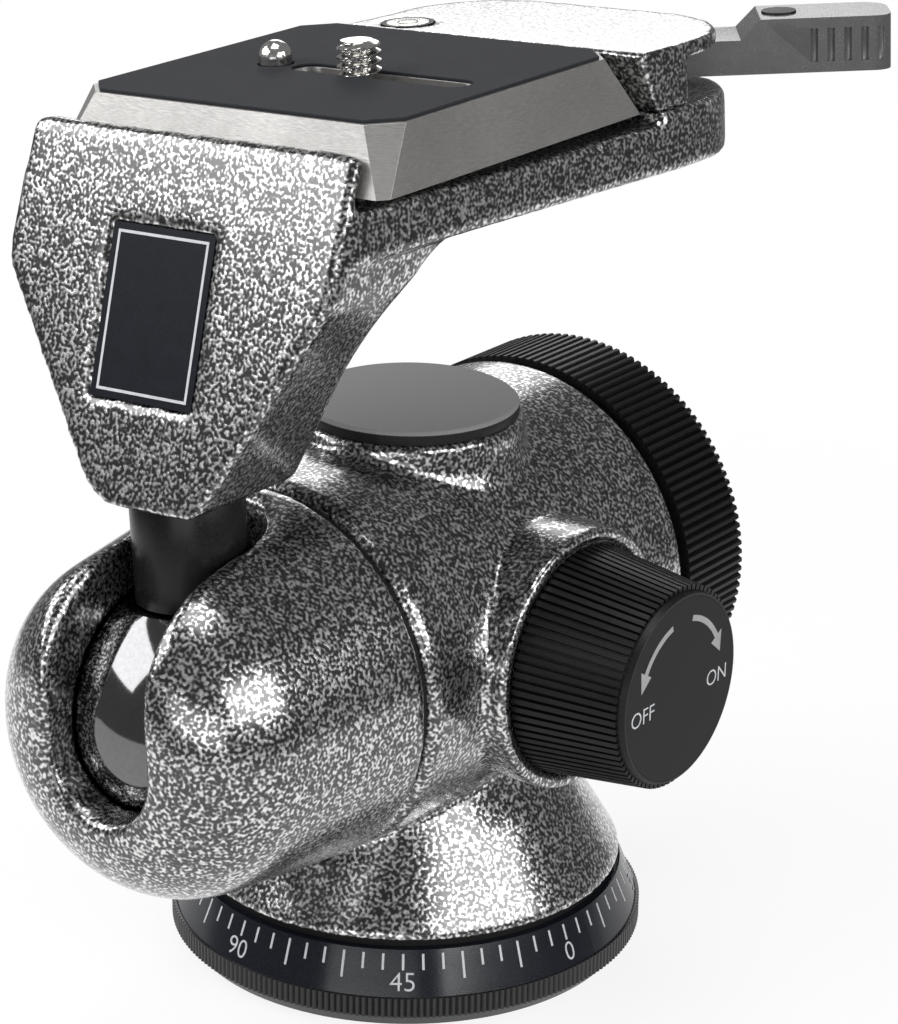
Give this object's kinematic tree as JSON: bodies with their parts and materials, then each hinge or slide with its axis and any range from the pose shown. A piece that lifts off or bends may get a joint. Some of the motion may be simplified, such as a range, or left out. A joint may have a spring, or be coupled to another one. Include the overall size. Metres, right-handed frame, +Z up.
{
  "type": "ball head",
  "caption": "Off-axis tripod ball head: panning base with degree scale, slotted ball housing, two lock knobs and a quick-release camera plate held by a cam lever.",
  "frame": {"origin": "mouth of the tripod thread, in the underside of the base", "axes": "+Z up along the pan axis, ball towards -Y, ball lock knob towards +Y, pan knob towards +X"},
  "size_m": [0.0865, 0.1337, 0.1441],
  "materials": {
    "hammertone": "glossy grey hammertone",
    "black_anodised": "satin blue-black",
    "steel": "machined",
    "dark_screws": "blackened",
    "bright_steel": "bright",
    "bronze": "machined bronze",
    "black_plastic": "satin, ribbed",
    "cap_plastic": "smooth satin",
    "grey_plastic": "smooth satin",
    "ball_finish": "polished graphite",
    "stem_finish": "black satin",
    "brushed_alu": "brushed",
    "pad_rubber": "matte",
    "seal_rubber": "matte",
    "badge": "smooth, bare",
    "fluid": "clear yellow-green",
    "lens": "clear"
  },
  "bodies": {
    "base": {"base": "black_anodised", "pan_spindle": "steel", "base_screws": "dark_screws", "pan_washer": "seal_rubber", "spring_washer": "steel", "spindle_nut": "steel"},
    "swivel": {"body": "hammertone", "pan_bushes": "bronze", "top_cap": "grey_plastic", "pan_lock_bush": "bronze", "lock_end_plate": "black_anodised", "end_plate_screws": "dark_screws", "seam_seal": "seal_rubber"},
    "pan_knob": {"pan_knob": "black_plastic", "pan_knob_cap": "cap_plastic", "pan_lock_screw": "steel"},
    "brake_shoe": {"brake_shoe": "bronze"},
    "lock_knob": {"ball_lock_knob": "black_plastic", "lock_knob_cap": "cap_plastic", "lock_screw": "steel"},
    "lock_slide": {"pressure_plate": "steel", "push_rods": "steel", "pressure_cup": "black_anodised"},
    "housing": {"ball_housing": "hammertone", "retaining_ring": "steel"},
    "ball": {"ball": "ball_finish"},
    "platform": {"stem": "stem_finish", "stem_set_screw": "dark_screws", "bracket": "hammertone", "name_plate": "badge", "rear_jaw": "hammertone", "jaw_screws": "dark_screws", "level_case": "cap_plastic", "level_fluid": "fluid", "level_lens": "lens", "lever_pin": "steel"},
    "lever": {"lever": "grey_plastic", "lever_spring": "steel", "button_spring": "steel"},
    "safety_button": {"safety_button": "cap_plastic"},
    "clamp_shoe": {"clamp_shoe": "bronze"},
    "plate": {"quick_plate": "brushed_alu", "rubber_pad": "pad_rubber", "pin_spring": "steel", "pin_plug": "steel"},
    "screw_slider": {"screw_slider": "steel"},
    "camera_screw": {"camera_screw": "bright_steel"},
    "twist_pin": {"twist_pin": "bright_steel"}
  },
  "joints": [
    {"name": "pan", "type": "hinge", "parent": "base", "child": "swivel", "pos_m": [0, 0, 0.0129], "axis": [0, 0, 1], "continuous": true},
    {"name": "pan_lock", "type": "hinge", "parent": "swivel", "child": "pan_knob", "pos_m": [0.04, 0, 0.053], "axis": [-1, 0, 0], "range_deg": [-90, 60]},
    {"name": "pan_brake", "type": "slide", "parent": "swivel", "child": "brake_shoe", "axis": [-1, 0, 0], "range_m": [-0.0003, 0.0002]},
    {"name": "ball_lock", "type": "hinge", "parent": "swivel", "child": "lock_knob", "pos_m": [0, 0.038, 0.0535], "axis": [0, -1, 0], "range_deg": [-120, 60]},
    {"name": "ball_pressure", "type": "slide", "parent": "swivel", "child": "lock_slide", "axis": [0, -1, 0], "range_m": [-0.0004, 0.0002]},
    {"name": "side_tilt", "type": "hinge", "parent": "swivel", "child": "housing", "pos_m": [0, -0.0483, 0.0535], "axis": [0, 1, 0], "range_deg": [-100, 100]},
    {"name": "front_tilt", "type": "hinge", "parent": "housing", "child": "ball", "pos_m": [0, -0.0483, 0.0535], "axis": [0.9978, 0, 0.0663], "range_deg": [-6, 90]},
    {"name": "stem_twist", "type": "hinge", "parent": "ball", "child": "platform", "pos_m": [0, -0.0483, 0.0535], "axis": [-0.0663, 0, 0.9978], "continuous": true},
    {"name": "clamp_lever", "type": "hinge", "parent": "platform", "child": "lever", "pos_m": [0.00873, 0.0337, 0.13325], "axis": [-0.0663, 0, 0.9978], "range_deg": [0, 70]},
    {"name": "button_press", "type": "slide", "parent": "lever", "child": "safety_button", "axis": [0.0663, 0, -0.9978], "range_m": [0, 0.0012], "stiffness_N_per_m": 400, "springref_m": -0.001, "deforming": ["button_spring"]},
    {"name": "shoe_slide", "type": "slide", "parent": "platform", "child": "clamp_shoe", "axis": [0, 1, 0], "range_m": [0, 0.0009]},
    {"name": "plate_slide", "type": "slide", "parent": "platform", "child": "plate", "axis": [0.9978, 0, 0.0663], "range_m": [-0.01, 0.01]},
    {"name": "screw_slide", "type": "slide", "parent": "plate", "child": "screw_slider", "axis": [0.9978, 0, 0.0663], "range_m": [-0.0039, 0.0166]},
    {"name": "screw_turn", "type": "hinge", "parent": "screw_slider", "child": "camera_screw", "pos_m": [0.00172, -0.0145, 0.1378], "axis": [-0.0663, 0, 0.9978], "continuous": true},
    {"name": "pin_press", "type": "slide", "parent": "plate", "child": "twist_pin", "axis": [0.0663, 0, -0.9978], "range_m": [0, 0.0032], "stiffness_N_per_m": 300, "springref_m": -0.002, "deforming": ["pin_spring"]}
  ],
  "couplings": [
    {"joint": "pan_brake", "follows": "pan_lock", "m_per_rad": 0.00019099},
    {"joint": "ball_pressure", "follows": "ball_lock", "m_per_rad": 0.00019099},
    {"joint": "shoe_slide", "follows": "clamp_lever", "m_per_rad": 0.00072029}
  ]
}
